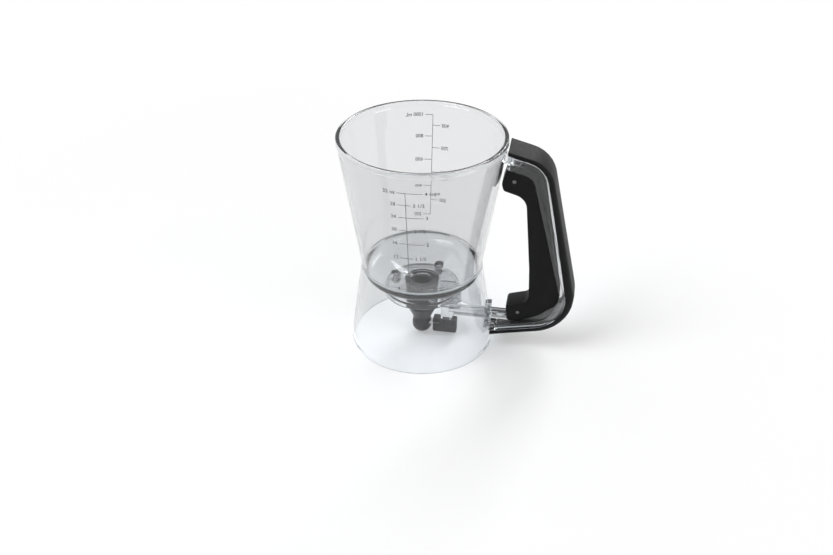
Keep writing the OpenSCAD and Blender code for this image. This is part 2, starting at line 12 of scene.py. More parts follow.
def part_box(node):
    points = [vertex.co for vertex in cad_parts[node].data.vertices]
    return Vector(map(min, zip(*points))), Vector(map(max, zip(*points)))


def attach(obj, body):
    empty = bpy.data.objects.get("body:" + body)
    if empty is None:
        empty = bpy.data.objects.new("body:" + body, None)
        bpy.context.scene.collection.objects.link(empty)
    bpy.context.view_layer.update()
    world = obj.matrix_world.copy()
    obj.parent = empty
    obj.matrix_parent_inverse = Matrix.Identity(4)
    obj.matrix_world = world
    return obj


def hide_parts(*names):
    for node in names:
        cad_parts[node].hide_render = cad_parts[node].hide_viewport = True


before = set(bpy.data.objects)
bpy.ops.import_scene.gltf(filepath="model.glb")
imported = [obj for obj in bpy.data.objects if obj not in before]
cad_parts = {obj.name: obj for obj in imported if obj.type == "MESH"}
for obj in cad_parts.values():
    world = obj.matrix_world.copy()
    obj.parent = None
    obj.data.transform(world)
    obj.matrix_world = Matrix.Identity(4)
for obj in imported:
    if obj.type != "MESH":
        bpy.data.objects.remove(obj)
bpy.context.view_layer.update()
MM = 0.001

# ---- Camera ----
# A normal lens looking down into the cup from the front, a little to the handle's side.
camera_target = np.array([-4.5, -0.8, 53.2])
camera_distance = 808.3
camera_heading, camera_pitch, camera_roll = np.radians([10.0, 33.43, -0.21])
back = np.array([
    np.sin(camera_heading) * np.cos(camera_pitch),
    -np.cos(camera_heading) * np.cos(camera_pitch),
    np.sin(camera_pitch),
])


def placed(name, data):
    """A new object that holds this data, in the scene."""
    thing = bpy.data.objects.new(name, data)
    bpy.context.scene.collection.objects.link(thing)
    return thing


camera = placed("camera", bpy.data.cameras.new("camera"))
camera.data.sensor_width, camera.data.lens = 36, 43.2
camera.data.clip_end = 20
facing = Vector(-back).to_track_quat("-Z", "Y") @ Matrix.Rotation(camera_roll, 3, "Z").to_quaternion()
camera.rotation_mode = "QUATERNION"
camera.rotation_quaternion = facing
camera.location = (camera_target + back * camera_distance) * MM
bpy.context.scene.camera = camera

# ---- Studio ----
# A pale floor that runs out to a pale horizon, one large soft lamp above the left shoulder, one
# weaker on the right and one behind. The room is greyer overhead, which gives gloss its shape.
bpy.context.scene.view_settings.view_transform = "Standard"
floor_colour, floor_fleck = (0.90, 0.90, 0.90), (0.915, 0.915, 0.915)
floor_half, fade_near, fade_far = 6.0, 0.13, 0.6
horizon_grey, ceiling_grey = 1.0, 0.28
horizon_top, ceiling_low = 0.28, 0.8
cup_middle = Vector((0, 0, 0.09))


def soft_lamp(name, place, size, watts):
    """A square lamp at place, size across, both in metres, that faces the middle of the cup."""
    lamp = bpy.data.lights.new(name, "AREA")
    lamp.shape, lamp.size, lamp.energy = "SQUARE", size, watts
    holder = placed(name, lamp)
    holder.location = place
    holder.rotation_euler = (cup_middle - Vector(place)).to_track_quat("-Z", "Y").to_euler()


soft_lamp("key lamp", (-0.9, -0.7, 1.5), 0.9, 16)
soft_lamp("fill lamp", (1.3, -0.5, 0.9), 0.7, 5)
soft_lamp("back lamp", (0.5, 1.3, 1.1), 0.6, 9)


def node(tree, kind):
    """A new shader node in a tree, such as node(tree, "Emission")."""
    return tree.nodes.new("ShaderNode" + kind)


def join(tree, *pairs):
    """Links each (output, input) pair of sockets in a shader tree."""
    for output, socket in pairs:
        tree.links.new(output, socket)


world = bpy.data.worlds.new("studio")
bpy.context.scene.world = world
world.use_nodes = True
sky_tree = world.node_tree
sky = node(sky_tree, "TexCoord")
height = node(sky_tree, "SeparateXYZ")
shade = node(sky_tree, "ValToRGB")
greys = ((horizon_top, horizon_grey), (ceiling_low, ceiling_grey))
for element, (position, grey) in zip(shade.color_ramp.elements, greys):
    element.position, element.color = position, (grey, grey, grey, 1)
join(
    sky_tree,
    (sky.outputs["Generated"], height.inputs[0]),
    (height.outputs["Z"], shade.inputs[0]),
    (shade.outputs[0], sky_tree.nodes["Background"].inputs["Color"]),
)


def finish(name, **inputs):
    """A new material whose Principled shader has these inputs set, such as Base_Color=(r, g, b, 1)."""
    material = bpy.data.materials.new(name)
    material.use_nodes = True
    principled = material.node_tree.nodes["Principled BSDF"]
    for socket, value in inputs.items():
        principled.inputs[socket.replace("_", " ")].default_value = value
    return material


noise_detail, noise_from, noise_to = 3.0, 0.3, 0.7


def mottle(material, socket, size, low, high):
    """Drives one input of the Principled shader by noise with features size mm across, between two
    values or two colours."""
    tree = material.node_tree
    place = node(tree, "TexCoord")
    noise = node(tree, "TexNoise")
    noise.inputs["Scale"].default_value = 1 / (size * MM)
    noise.inputs["Detail"].default_value = noise_detail
    ramp = node(tree, "ValToRGB")
    for element, position, value in zip(ramp.color_ramp.elements, (noise_from, noise_to), (low, high)):
        element.position = position
        element.color = value if isinstance(value, tuple) else (value, value, value, 1)
    join(
        tree,
        (place.outputs["Object"], noise.inputs["Vector"]),
        (noise.outputs["Fac"], ramp.inputs[0]),
        (ramp.outputs[0], tree.nodes["Principled BSDF"].inputs[socket]),
    )
    return material


def speckled(name, size, dark, light, roughness=None, rough_size=3, **inputs):
    """A new material whose colour wanders between dark and light, with features size mm across. A pair
    of roughnesses makes that wander too, with features rough_size mm across."""
    material = mottle(finish(name, **inputs), "Base Color", size, (*dark, 1), (*light, 1))
    if roughness:
        mottle(material, "Roughness", rough_size, *roughness)
    return material


def fades_to_white(material, near, far):
    """Mixes the shader into plain white light where a ray that looks at, reflects or passes to it meets
    it between near and far metres from the middle, so the floor runs out into a white background."""
    tree = material.node_tree
    place = node(tree, "TexCoord")
    length = node(tree, "VectorMath")
    length.operation = "LENGTH"
    share = node(tree, "MapRange")
    share.inputs["From Min"].default_value, share.inputs["From Max"].default_value = near, far
    rays = node(tree, "LightPath")
    seen = node(tree, "Math")
    seen.operation = "ADD"
    passed = node(tree, "Math")
    passed.operation, passed.use_clamp = "ADD", True
    both = node(tree, "Math")
    both.operation = "MULTIPLY"
    white = node(tree, "Emission")
    mix = node(tree, "MixShader")
    join(
        tree,
        (place.outputs["Object"], length.inputs[0]),
        (length.outputs["Value"], share.inputs["Value"]),
        (rays.outputs["Is Camera Ray"], seen.inputs[0]),
        (rays.outputs["Is Glossy Ray"], seen.inputs[1]),
        (seen.outputs[0], passed.inputs[0]),
        (rays.outputs["Is Transmission Ray"], passed.inputs[1]),
        (share.outputs[0], both.inputs[0]),
        (passed.outputs[0], both.inputs[1]),
        (both.outputs[0], mix.inputs[0]),
        (tree.nodes["Principled BSDF"].outputs[0], mix.inputs[1]),
        (white.outputs[0], mix.inputs[2]),
        (mix.outputs[0], tree.nodes["Material Output"].inputs["Surface"]),
    )
    return material


bpy.ops.mesh.primitive_plane_add(size=2 * floor_half)
floor = bpy.context.object
floor.name = "floor"
floor_paper = speckled("floor paper", 400, floor_colour, floor_fleck, Roughness=0.9)
floor.data.materials.append(fades_to_white(floor_paper, fade_near, fade_far))

# ---- Cup ----
# One clear moulding: a flared wall with a thick round lip, a dished floor that falls to the outlet,
# three screw bosses under it and, at the back, the T-shaped lug that the handle hooks over.
cup_low, cup_high = (np.array(corner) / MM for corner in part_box("cup"))
rim_r, rim_z = cup_high[1], cup_high[2]
lip_w, lip_h, lip_bend = 3.6, 4.0, 1.25
waist_r, waist_z, waist_band = 48.2, 70.0, 2.5
cup_wall = 2.4
floor_edge_z, outlet_r, outlet_z = 63.5, 8.0, 53.5
floor_bend, plug_bend = 8.0, 7.0
boss_r, flange_h = 14.0, 2.0
boss_z = cup_low[2] + flange_h
plug_depth, plug_inset = 9.0, 2.5
plug_r = waist_r - plug_inset
wall_top_r, wall_top_z = rim_r - 0.5, rim_z - lip_h
wall_foot_z = waist_z + waist_band
wall_slope = (wall_top_r - waist_r) / (wall_top_z - wall_foot_z)
floor_slope = (floor_edge_z - outlet_z) / (waist_r - cup_wall - outlet_r)
around = 240


def unit(v):
    """Rows of v, each divided by its length."""
    return v / np.linalg.norm(v, axis=-1, keepdims=True)


def rounded(corners, closed=True, step=3.0):
    """The points of a flat outline through (a, b, bend) corners. A corner is an arc of radius bend
    that touches both of its sides, and a straight stretch is split into parts no longer than step."""
    corners = np.array(corners, float)
    points, bends = corners[:, :2], corners[:, 2]
    before, after = unit(np.roll(points, 1, 0) - points), unit(np.roll(points, -1, 0) - points)
    half = np.arccos(np.clip((before * after).sum(1), -1, 1)) / 2
    run = bends / np.tan(half)
    line = []
    for i, (p, u, v, h, r) in enumerate(zip(points, before, after, half, bends)):
        ends = not closed and i in (0, len(points) - 1)
        if r <= 0 or ends:
            arc = p[None]
        else:
            centre = p + unit(u + v) * r / np.sin(h)
            first, last = p + u * run[i] - centre, p + v * run[i] - centre
            start = np.arctan2(first[1], first[0])
            turn = (np.arctan2(last[1], last[0]) - start + 3 * np.pi) % (2 * np.pi) - np.pi
            angle = start + turn * np.linspace(0, 1, max(3, int(np.degrees(abs(turn)) / 11) + 2))
            arc = centre + r * np.stack([np.cos(angle), np.sin(angle)], 1)
        line.append(arc)
    out = []
    for i, arc in enumerate(line):
        out.append(arc)
        if closed or i < len(line) - 1:
            ahead = line[(i + 1) % len(line)][0]
            parts = int(np.ceil(np.linalg.norm(ahead - arc[-1]) / step))
            share = np.linspace(0, 1, parts + 1)[1:-1, None]
            out.append(arc[-1] + (ahead - arc[-1]) * share)
    return np.concatenate(out)


def solid(name, grid, wrap=(True, True), caps=False):
    """A closed mesh object from a grid of points in millimetres. Each point joins its neighbours in its
    row and column, wrap joins the last row or column to the first, and caps closes the two end rows."""
    index = np.arange(grid.shape[0] * grid.shape[1]).reshape(grid.shape[:2])
    ends = [index[0][::-1].tolist(), index[-1].tolist()] if caps else []
    if wrap[0]:
        index = np.vstack([index, index[:1]])
    if wrap[1]:
        index = np.hstack([index, index[:, :1]])
    quads = np.stack([index[:-1, :-1], index[:-1, 1:], index[1:, 1:], index[1:, :-1]], -1).reshape(-1, 4)
    mesh = bpy.data.meshes.new(name)
    mesh.from_pydata((grid.reshape(-1, 3) * MM).tolist(), [], quads.tolist() + ends)
    return tidied(placed(name, mesh))


def tidied(piece, sharp=40):
    """The piece with its doubles merged, its faces pointing outwards and smooth shading, except across
    edges sharper than sharp degrees."""
    work = bmesh.new()
    work.from_mesh(piece.data)
    bmesh.ops.remove_doubles(work, verts=work.verts, dist=1e-3 * MM)
    bmesh.ops.recalc_face_normals(work, faces=work.faces)
    work.to_mesh(piece.data)
    work.free()
    piece.data.shade_smooth()
    piece.data.set_sharp_from_angle(angle=np.radians(sharp))
    return piece


def turned(name, outline, centre=(0, 0, 0), axis="Z", steps=around, closed=True):
    """A lathe shape: each (r, h) point of the outline goes round the axis through centre, at the radius
    r and the height h along it. An open outline starts and ends on the axis."""
    angle = np.linspace(0, 2 * np.pi, steps, endpoint=False)
    r, h = outline[:, 0, None], outline[:, 1, None] + 0 * angle
    a, b = r * np.cos(angle), r * np.sin(angle)
    order = {"X": (h, a, b), "Y": (a, h, b), "Z": (a, b, h)}[axis]
    return solid(name, np.stack(order, -1) + np.array(centre), wrap=(closed, True))


def merged(piece, other, operation="UNION"):
    """The piece with the other solid joined to it, or taken out of it, as one closed mesh."""
    step = piece.modifiers.new("merge", "BOOLEAN")
    step.operation, step.solver, step.object = operation, "EXACT", other
    graph = bpy.context.evaluated_depsgraph_get()
    mesh = bpy.data.meshes.new_from_object(piece.evaluated_get(graph))
    piece.modifiers.clear()
    piece.data = mesh
    bpy.data.objects.remove(other)
    return tidied(piece)


def slab(outline, low, high, ease=0.4, axis="Y", name="slab"):
    """A plate: the closed outline carried across the axis from low to high, with every edge rounded by
    ease, which may be one number or one for each point. The rounding draws the outline in along its
    own normals by ease times (1 - sine) while it moves by ease times (1 - cosine)."""
    along = unit(np.roll(outline, -1, 0) - np.roll(outline, 1, 0))
    area = (outline[:, 0] * np.roll(outline[:, 1], -1) - outline[:, 1] * np.roll(outline[:, 0], -1)).sum()
    inward = np.stack([-along[:, 1], along[:, 0]], 1) * np.sign(area)
    ease = np.broadcast_to(np.asarray(ease, float), len(outline))[None, :]
    turn = np.linspace(0, np.pi / 2, 5)[:, None]
    draw = ease * (1 - np.sin(turn))
    rise = ease * (1 - np.cos(turn))
    draw, rise = np.concatenate([draw, draw[::-1]]), np.concatenate([low + rise, high - rise[::-1]])
    flat = outline[None] + inward[None] * draw[..., None]
    a, b = flat[..., 0], flat[..., 1]
    order = {"X": (rise, a, b), "Y": (a, rise, b), "Z": (a, b, rise)}[axis]
    return solid(name, np.stack(order, -1), wrap=(False, True), caps=True)


def bar(low, high, ease=0.4, bend=0.0):
    """A rounded bar between two corners (x, y, z)."""
    bend = max(bend, ease * 1.2)
    x, z = (low[0], high[0]), (low[2], high[2])
    outline = [(x[0], z[0], bend), (x[1], z[0], bend), (x[1], z[1], bend), (x[0], z[1], bend)]
    return slab(rounded(outline), low[1], high[1], ease)


def cup_r(z):
    """Outside radius of the cup's wall at a height: waist_r, then a straight flare."""
    return waist_r + np.maximum(0, z - wall_foot_z) * wall_slope


def floor_height(r):
    """Height of the dished floor at a radius: a straight fall to the outlet."""
    return outlet_z + (r - outlet_r) * floor_slope


def grain(material, size, depth, stretch=(1, 1, 1)):
    """Adds a raised grain: noise with features size mm across and depth mm high, drawn out along the
    axes by stretch."""
    tree = material.node_tree
    place = node(tree, "TexCoord")
    turn = node(tree, "Mapping")
    turn.inputs["Scale"].default_value = stretch
    noise = node(tree, "TexNoise")
    noise.inputs["Scale"].default_value = 1 / (size * MM)
    bump = node(tree, "Bump")
    bump.inputs["Distance"].default_value = depth * MM
    join(
        tree,
        (place.outputs["Object"], turn.inputs["Vector"]),
        (turn.outputs["Vector"], noise.inputs["Vector"]),
        (noise.outputs["Fac"], bump.inputs["Height"]),
        (bump.outputs["Normal"], tree.nodes["Principled BSDF"].inputs["Normal"]),
    )
    return material


clear_skin, clear_tint, clear_density = (0.83, 0.837, 0.843, 1), (0.70, 0.74, 0.77, 1), 25.0


def clear_plastic(name, density=clear_density, haze=(0.015, 0.05)):
    """Clear moulded plastic: light passes and bends, thick parts turn grey-blue with depth, the skin has
    faint flow lines and haze, and lamps shine through it on to what is behind."""
    material = finish(name, Base_Color=clear_skin, IOR=1.5, Transmission_Weight=1.0)
    mottle(material, "Roughness", 30, haze[0], haze[1])
    grain(material, 22, 0.05, stretch=(1, 1, 0.25))
    tree = material.node_tree
    depth = node(tree, "VolumeAbsorption")
    depth.inputs["Color"].default_value = clear_tint
    depth.inputs["Density"].default_value = density
    join(tree, (depth.outputs[0], tree.nodes["Material Output"].inputs["Volume"]))
    rays = node(tree, "LightPath")
    passing = node(tree, "BsdfTransparent")
    passing.inputs["Color"].default_value = (0.93, 0.94, 0.95, 1)
    mix = node(tree, "MixShader")
    join(
        tree,
        (rays.outputs["Is Shadow Ray"], mix.inputs[0]),
        (tree.nodes["Principled BSDF"].outputs[0], mix.inputs[1]),
        (passing.outputs[0], mix.inputs[2]),
        (mix.outputs[0], tree.nodes["Material Output"].inputs["Surface"]),
    )
    return material


clear_body = clear_plastic("clear body plastic")


def dress(piece, material, body, slot, *replaced):
    """Gives the piece its one material and its body, and hides the CAD nodes that it stands for; slot is not
    used.
    """
    piece.data.materials.clear()
    piece.data.materials.append(material)
    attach(piece, body)
    if replaced:
        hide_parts(*replaced)
    return piece


wall_in = waist_r - cup_wall
cup = turned("cup_moulding", rounded([
    (outlet_r, boss_z, 0.3),
    (boss_r, boss_z, 0.3),
    (boss_r, floor_height(boss_r) - cup_wall, 0.6),
    (plug_r, waist_z - plug_depth, plug_bend),
    (plug_r, waist_z, 0.0),
    (waist_r, waist_z, 0.4),
    (waist_r, wall_foot_z, 1.0),
    (wall_top_r, wall_top_z, 0.3),
    (rim_r, wall_top_z + 0.5, 0.4),
    (rim_r, rim_z, lip_bend),
    (rim_r - lip_w, rim_z, lip_bend),
    (rim_r - lip_w, wall_top_z + 0.5, 1.0),
    (wall_top_r - cup_wall, wall_top_z - 1.5, 2.0),
    (wall_in, wall_foot_z, 3.0),
    (wall_in, floor_edge_z, floor_bend),
    (outlet_r, outlet_z, 0.8),
]))

hook_x, hook_t, lug_head_t, lug_play = rim_r + 0.4, 2.2, 2.2, 0.15
lug_x = (hook_x + hook_t + lug_play, hook_x + hook_t + lug_play + lug_head_t)
lug_z = (162.8, 170.3)
lug_neck, lug_head = 3.5, 5.5
lug_root = cup_r(lug_z[0]) - 1.6
cup = merged(cup, bar((lug_root, -lug_neck, lug_z[0]), (lug_x[0] + 0.5, lug_neck, lug_z[1]), 0.3))
cup = merged(cup, bar((lug_x[0], -lug_head, lug_z[0]), (lug_x[1], lug_head, lug_z[1]), 0.5))

plate_screw_circle, screw_boss_r, screw_r, screw_play = 22.0, 4.0, 1.5, 0.05
screw_hole_r, screw_depth = screw_r + screw_play, 5.0
plate_top_z = boss_z - flange_h
screw_angles = np.radians([60, 180, 300])
screw_places = plate_screw_circle * np.stack([np.cos(screw_angles), np.sin(screw_angles)], 1)
boss_top = floor_height(plate_screw_circle) - cup_wall / 2
boss = rounded([
    (0, plate_top_z + screw_depth, 0), (screw_hole_r, plate_top_z + screw_depth, 0.3),
    (screw_hole_r, plate_top_z, 0),
    (screw_boss_r, plate_top_z, 0.4), (screw_boss_r, boss_top, 0), (0, boss_top, 0),
], closed=False)
for x, y in screw_places:
    cup = merged(cup, turned("screw_boss", boss, (x, y, 0), steps=48, closed=False))
dress(cup, clear_body, "vessel", "clear_plastic", "cup")

# ---- Printed volume scales ----
# Grey ink on the outside of the wall, a quarter turn from the handle: ounces and cups on one side,
# millilitres on the other. A mark stands where the cup holds its volume, and the scale reads 4% high.
ink_lift, ink_t, line_w, letter_swell = 0.03, 0.05, 0.45, 0.07
scale_turn = 91.6
ounce = 29.57
letter_h = 4.2
below_waist, printed_ml = 114.0, 960.0
grey_ink = speckled("grey ink", 6, (0.10, 0.10, 0.11), (0.15, 0.15, 0.16), Roughness=0.55)


def mark_height(millilitres):
    """Height of the batter's surface at a printed volume (printed_ml cubic mm to the millilitre): what
    lies above the waist fills a cone, so the inside radius there is the cube root of its foot's cube
    plus three slopes of volume over pi."""
    above = printed_ml * (millilitres - below_waist)
    return wall_foot_z + (np.cbrt(wall_in**3 + 3 * wall_slope * above / np.pi) - wall_in) / wall_slope


def wrapped(points, turn, z):
    """Flat (across, up, out) points laid on the cup's wall round the direction turn, in degrees, at the
    height z: across becomes an arc of the same length, and out stands off the wall."""
    across, up, out = points[..., 0], points[..., 1], points[..., 2]
    r = cup_r(z + up) + ink_lift + out
    angle = np.radians(turn) + across / r
    return np.stack([r * np.cos(angle), r * np.sin(angle), z + up], -1)


def stroke(start, end):
    """A printed line between two flat (across, up) points, as a thin closed bar with a corner at each
    side and parts short enough to follow the wall."""
    start, end = np.array(start, float), np.array(end, float)
    along = (end - start) / np.linalg.norm(end - start)
    side = np.array([-along[1], along[0]]) * line_w / 2
    share = np.linspace(0, 1, 13)[:, None, None]
    middle = start + (end - start) * share
    corners = np.array([(-1, 0), (1, 0), (1, 1), (-1, 1)])
    flat = middle + side * corners[None, :, :1]
    return np.concatenate([flat, np.broadcast_to(ink_t * corners[None, :, 1:], (13, 4, 1))], -1)


def words(text, size, align):
    """Flat (across, up, out) points and faces of a short text, one flat letter mesh with a thin edge."""
    curve = bpy.data.curves.new("letters", "FONT")
    curve.body, curve.size, curve.align_x, curve.align_y = text, size, align, "CENTER"
    curve.extrude, curve.resolution_u, curve.offset = ink_t / 2, 3, letter_swell
    holder = placed("letters", curve)
    bpy.context.view_layer.update()
    mesh = holder.to_mesh()
    points = np.empty(len(mesh.vertices) * 3)
    mesh.vertices.foreach_get("co", points)
    faces = [list(face.vertices) for face in mesh.polygons]
    holder.to_mesh_clear()
    bpy.data.objects.remove(holder)
    points = points.reshape(-1, 3)
    points[:, 2] += ink_t / 2
    return points, faces


def printed_scale(name, turn, strokes, labels):
    """One mesh of all strokes (start, end, z) and labels (text, across, z, align) of a scale."""
    points, faces, count = [], [], 0
    for start, end, z in strokes:
        grid = wrapped(stroke(start, end), turn, z)
        rows = grid.shape[0]
        index = count + np.arange(rows * 4).reshape(rows, 4)
        side = np.stack([index[:-1], np.roll(index[:-1], -1, 1), np.roll(index[1:], -1, 1), index[1:]], -1)
        faces += side.reshape(-1, 4).tolist() + [index[0][::-1].tolist(), index[-1].tolist()]
        points.append(grid.reshape(-1, 3))
        count += rows * 4
    for text, across, z, align in labels:
        flat, letters = words(text, letter_h, align)
        flat[:, 0] += across
        points.append(wrapped(flat, turn, z))
        faces += [[count + k for k in face] for face in letters]
        count += len(flat)
    mesh = bpy.data.meshes.new(name)
    mesh.from_pydata((np.concatenate(points) * MM).tolist(), [], faces)
    return dress(tidied(placed(name, mesh), 30), grey_ink, "vessel", "clear_plastic")


tick_left, tick_cup, tick_half, label_gap = 6.2, 12.6, 3.8, 1.2
cup_names = {32: "4 cups", 28: "3 1/2", 24: "3", 20: "2 1/2", 16: "2", 12: "1 1/2", 8: "1", 4: "1/2"}
top, foot = mark_height(32 * ounce), mark_height(4 * ounce)
strokes = [((0, foot - top), (0, 0), top)]
labels = []
for ounces, cups in cup_names.items():
    z = mark_height(ounces * ounce)
    reach = tick_cup if ounces % 8 == 0 else tick_half
    strokes.append(((-tick_left, 0), (reach, 0), z))
    labels.append((f"{ounces} oz" if ounces == 32 else str(ounces), -tick_left - label_gap, z, "RIGHT"))
    labels.append((cups, reach + label_gap, z, "LEFT"))
printed_scale("ounce_scale", -scale_turn, strokes, labels)

top, foot = mark_height(1000), mark_height(200)
strokes = [((0, foot - top), (0, 0), top)]
labels = []
for hundreds in range(10, 1, -1):
    z = mark_height(100 * hundreds)
    side = 1 if hundreds % 2 == 0 else -1
    strokes.append(((0, 0), (side * tick_left, 0), z))
    text = "1000 mL" if hundreds == 10 else str(100 * hundreds)
    labels.append((text, side * (tick_left + label_gap), z, "LEFT" if side > 0 else "RIGHT"))
printed_scale("millilitre_scale", scale_turn, strokes, labels)

# ---- Waist gasket ----
# A thin grey silicone ring that the cup's shoulder rests on, squeezed a little past the wall.
gasket_t, gasket_out = 1.0, 0.15
gasket = turned("waist_ring", rounded([
    (plug_r + 0.15, waist_z - gasket_t, 0.2), (waist_r + gasket_out, waist_z - gasket_t, 0.35),
    (waist_r + gasket_out, waist_z, 0.35), (plug_r + 0.15, waist_z, 0.2),
]))
gasket_grey = speckled("gasket silicone", 8, (0.34, 0.35, 0.37), (0.40, 0.41, 0.43),
                       Subsurface_Weight=0.1, Sheen_Weight=0.2)
dress(gasket, gasket_grey, "vessel", "gasket_silicone", "waist_gasket")

# ---- Base skirt ----
# A second clear moulding that flares to the foot. A thick flat pad takes the handle's two screws,
# and a slot above it takes the link's bush.
foot_r, skirt_wall, foot_land_h = 58.5, 2.4, 3.0
skirt_top_z = waist_z - gasket_t


def skirt_r(z):
    """Outside radius of the skirt at a height: a straight cone from foot_r to waist_r."""
    return foot_r - z * (foot_r - waist_r) / skirt_top_z


def skirt_side(shift, low, high):
    """Points of the skirt's side, as corners with no bend."""
    z = np.linspace(low, high, 15)
    return np.stack([skirt_r(z) + shift, z, 0 * z], 1)


def cut(piece, other):
    """The piece with the other solid taken out of it."""
    return merged(piece, other, "DIFFERENCE")


def bore(centre, r, length, axis):
    """A plain round cutter, length long about its centre."""
    outline = np.array([(0, -length / 2), (r, -length / 2), (r, length / 2), (0, length / 2)])
    return turned("bore", outline, centre, axis, 48, closed=False)


skirt = turned("skirt_moulding", rounded(np.concatenate([
    [(foot_r - skirt_wall, 0, 0.5), (foot_r, 0, 0.7)],
    skirt_side(0, 1.5, skirt_top_z - 1),
    [(waist_r, skirt_top_z, 0.3), (waist_r - skirt_wall, skirt_top_z, 0.3)],
    skirt_side(-skirt_wall, foot_land_h + 1, skirt_top_z - 1)[::-1],
    [(foot_r - skirt_wall, foot_land_h, 0.3)],
])))
arm_z = 15.0
pad_foot_z = arm_z - 1
pad_stand, bush_gap = 0.8, 0.2
arm_x = skirt_r(pad_foot_z) + pad_stand
link_z, link_h, link_half, guide_gap = 25.5, 6.0, 4.0, 0.3
bush_t = 2.0
bush_half = link_half + guide_gap + bush_t
bush_z = (link_z - link_h / 2 - guide_gap - bush_t, link_z + link_h / 2 + guide_gap + bush_t)
pad_half, pad_in, pad_z = 9.0, 2.8, (pad_foot_z, bush_z[0] - bush_gap)
skirt = merged(skirt, bar((arm_x - pad_in, -pad_half, pad_z[0]), (arm_x, pad_half, pad_z[1]), 0.4))
slot = bar((arm_x - 15, -bush_half, bush_z[0]), (arm_x + 10, bush_half, bush_z[1]), 0.3)
skirt = cut(skirt, slot)
head_r = 2.8
frame_screw_y, frame_screw_z = 5.5, pad_z[1] - head_r


def screw_holed(piece, length):
    """The piece with the holes for the handle's two screws, length long about the pad's face."""
    for side in (-1, 1):
        piece = cut(piece, bore((arm_x, side * frame_screw_y, frame_screw_z), screw_hole_r, length, "X"))
    return piece


skirt = screw_holed(skirt, 24)
dress(skirt, clear_body, "vessel", "clear_plastic", "base_skirt")

# ---- Nozzle ----
# Dark grey silicone with a satin skin: a flange under the outlet, a shoulder that snaps under the
# plate, a cone and a round bulb, with the side pocket that the gate blade slides in.
plate_t = 2.5
plate_z = plate_top_z - plate_t
nozzle_top_r, shoulder_r, cone_z, neck_r, neck_z = 10.0, 13.0, 29.0, 7.0, 16.5
bulb_r, bulb_z, bulb_bend, throat_r, spout_r = 8.0, 9.5, 6.8, 4.4, 3.0
blade_z, blade_t, blade_half, pocket_gap = 12.2, 1.4, 4.0, 0.25
blade_tip_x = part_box("gate_blade")[0][0] / MM
bulb_from_a, bulb_to_a = 5, 70
throat_foot_z, throat_top_z = blade_z + 3, blade_z + 6
funnel_foot_z, funnel_top_z, bulb_top_z = neck_z + 5, cone_z + 6, bulb_z + 2.5
flange_r, shoulder_z = boss_r - 0.1, plate_z - 0.1
bulb_angle = np.radians(np.linspace(bulb_from_a, bulb_to_a, 12))
bulb_side = np.stack([np.cos(bulb_angle), -np.sin(bulb_angle), 0 * bulb_angle], 1) * bulb_bend
bulb_side += (bulb_r - bulb_bend, bulb_z, 0)
nozzle = turned("nozzle_moulding", rounded(np.concatenate([
    [(outlet_r, boss_z, 0.2), (flange_r, boss_z, 0.2), (flange_r, plate_top_z, 0.2)],
    [(nozzle_top_r, plate_top_z, 0.0), (nozzle_top_r, shoulder_z, 0.2), (shoulder_r, shoulder_z, 1.2)],
    [(shoulder_r, cone_z, 4.0), (neck_r, neck_z, 6.0), (bulb_r, bulb_top_z, 2.0)],
    bulb_side,
    [(spout_r, bulb_side[-1, 1], 0.15), (spout_r, throat_foot_z, 1.0), (throat_r, throat_top_z, 1.0)],
    [(throat_r, funnel_foot_z, 2.0), (outlet_r, funnel_top_z, 3.0)],
]), step=1.5), steps=128)
pocket = bar((blade_tip_x - 0.4, -blade_half - pocket_gap, blade_z - blade_t / 2 - pocket_gap),
             (bulb_r + 3, blade_half + pocket_gap, blade_z + blade_t / 2 + pocket_gap), 0.1)
nozzle = cut(nozzle, pocket)
dark_silicone = speckled(
    "dark silicone", 5, (0.005, 0.005, 0.006), (0.008, 0.008, 0.009), (0.26, 0.38),
    Sheen_Weight=0.02, Sheen_Roughness=0.4, Specular_IOR_Level=0.15,
)
grain(dark_silicone, 0.7, 0.02)
dress(nozzle, dark_silicone, "vessel", "nozzle_silicone", "nozzle")

# ---- Valve plate ----
# A clear round plate with a rim, screwed under the cup. It holds the nozzle's flange up against the
# outlet, and its two lipped rails carry the inner end of the link.
plate_r, plate_rim_t, plate_rim_h = 30.0, 2.0, 3.0
plate_hole_r = nozzle_top_r + 0.1
plate = turned("plate_moulding", rounded([
    (plate_hole_r, plate_z, 0.2), (plate_r - plate_rim_t, plate_z, 0.6),
    (plate_r - plate_rim_t, plate_z - plate_rim_h, 0.4), (plate_r, plate_z - plate_rim_h, 0.4),
    (plate_r, plate_top_z, 0.5), (plate_hole_r, plate_top_z, 0.2),
]), steps=160)
rail_x, rail_t, rail_lip, runner_z = (15.0, 32.0), 2.0, 1.0, 36.0
rail_in = link_half + guide_gap
rail_out, window_z = rail_in + rail_t, (plate_z - plate_rim_h - 1, plate_z)
rail_low = runner_z - link_h / 2 - guide_gap - rail_t
window = bar((rail_x[0] - 1, -rail_in, window_z[0]), (plate_r + 1, rail_in, window_z[1]), 0.1)
plate = cut(plate, window)
for side in (-1, 1):
    wall = sorted((side * rail_in, side * rail_out))
    lip = sorted((side * (rail_in - rail_lip), side * rail_out))
    rail = bar((rail_x[0], wall[0], rail_low), (rail_x[1], wall[1], plate_z + 0.5), 0.3)
    rail = merged(rail, bar((rail_x[0], lip[0], rail_low), (rail_x[1], lip[1], rail_low + rail_t), 0.3))
    plate = merged(plate, rail)
for x, y in screw_places:
    plate = cut(plate, bore((x, y, plate_z), screw_hole_r, 12, "Z"))
clear_small = clear_plastic("clear fittings plastic", density=40.0)
dress(plate, clear_small, "vessel", "clear_plastic", "valve_plate")

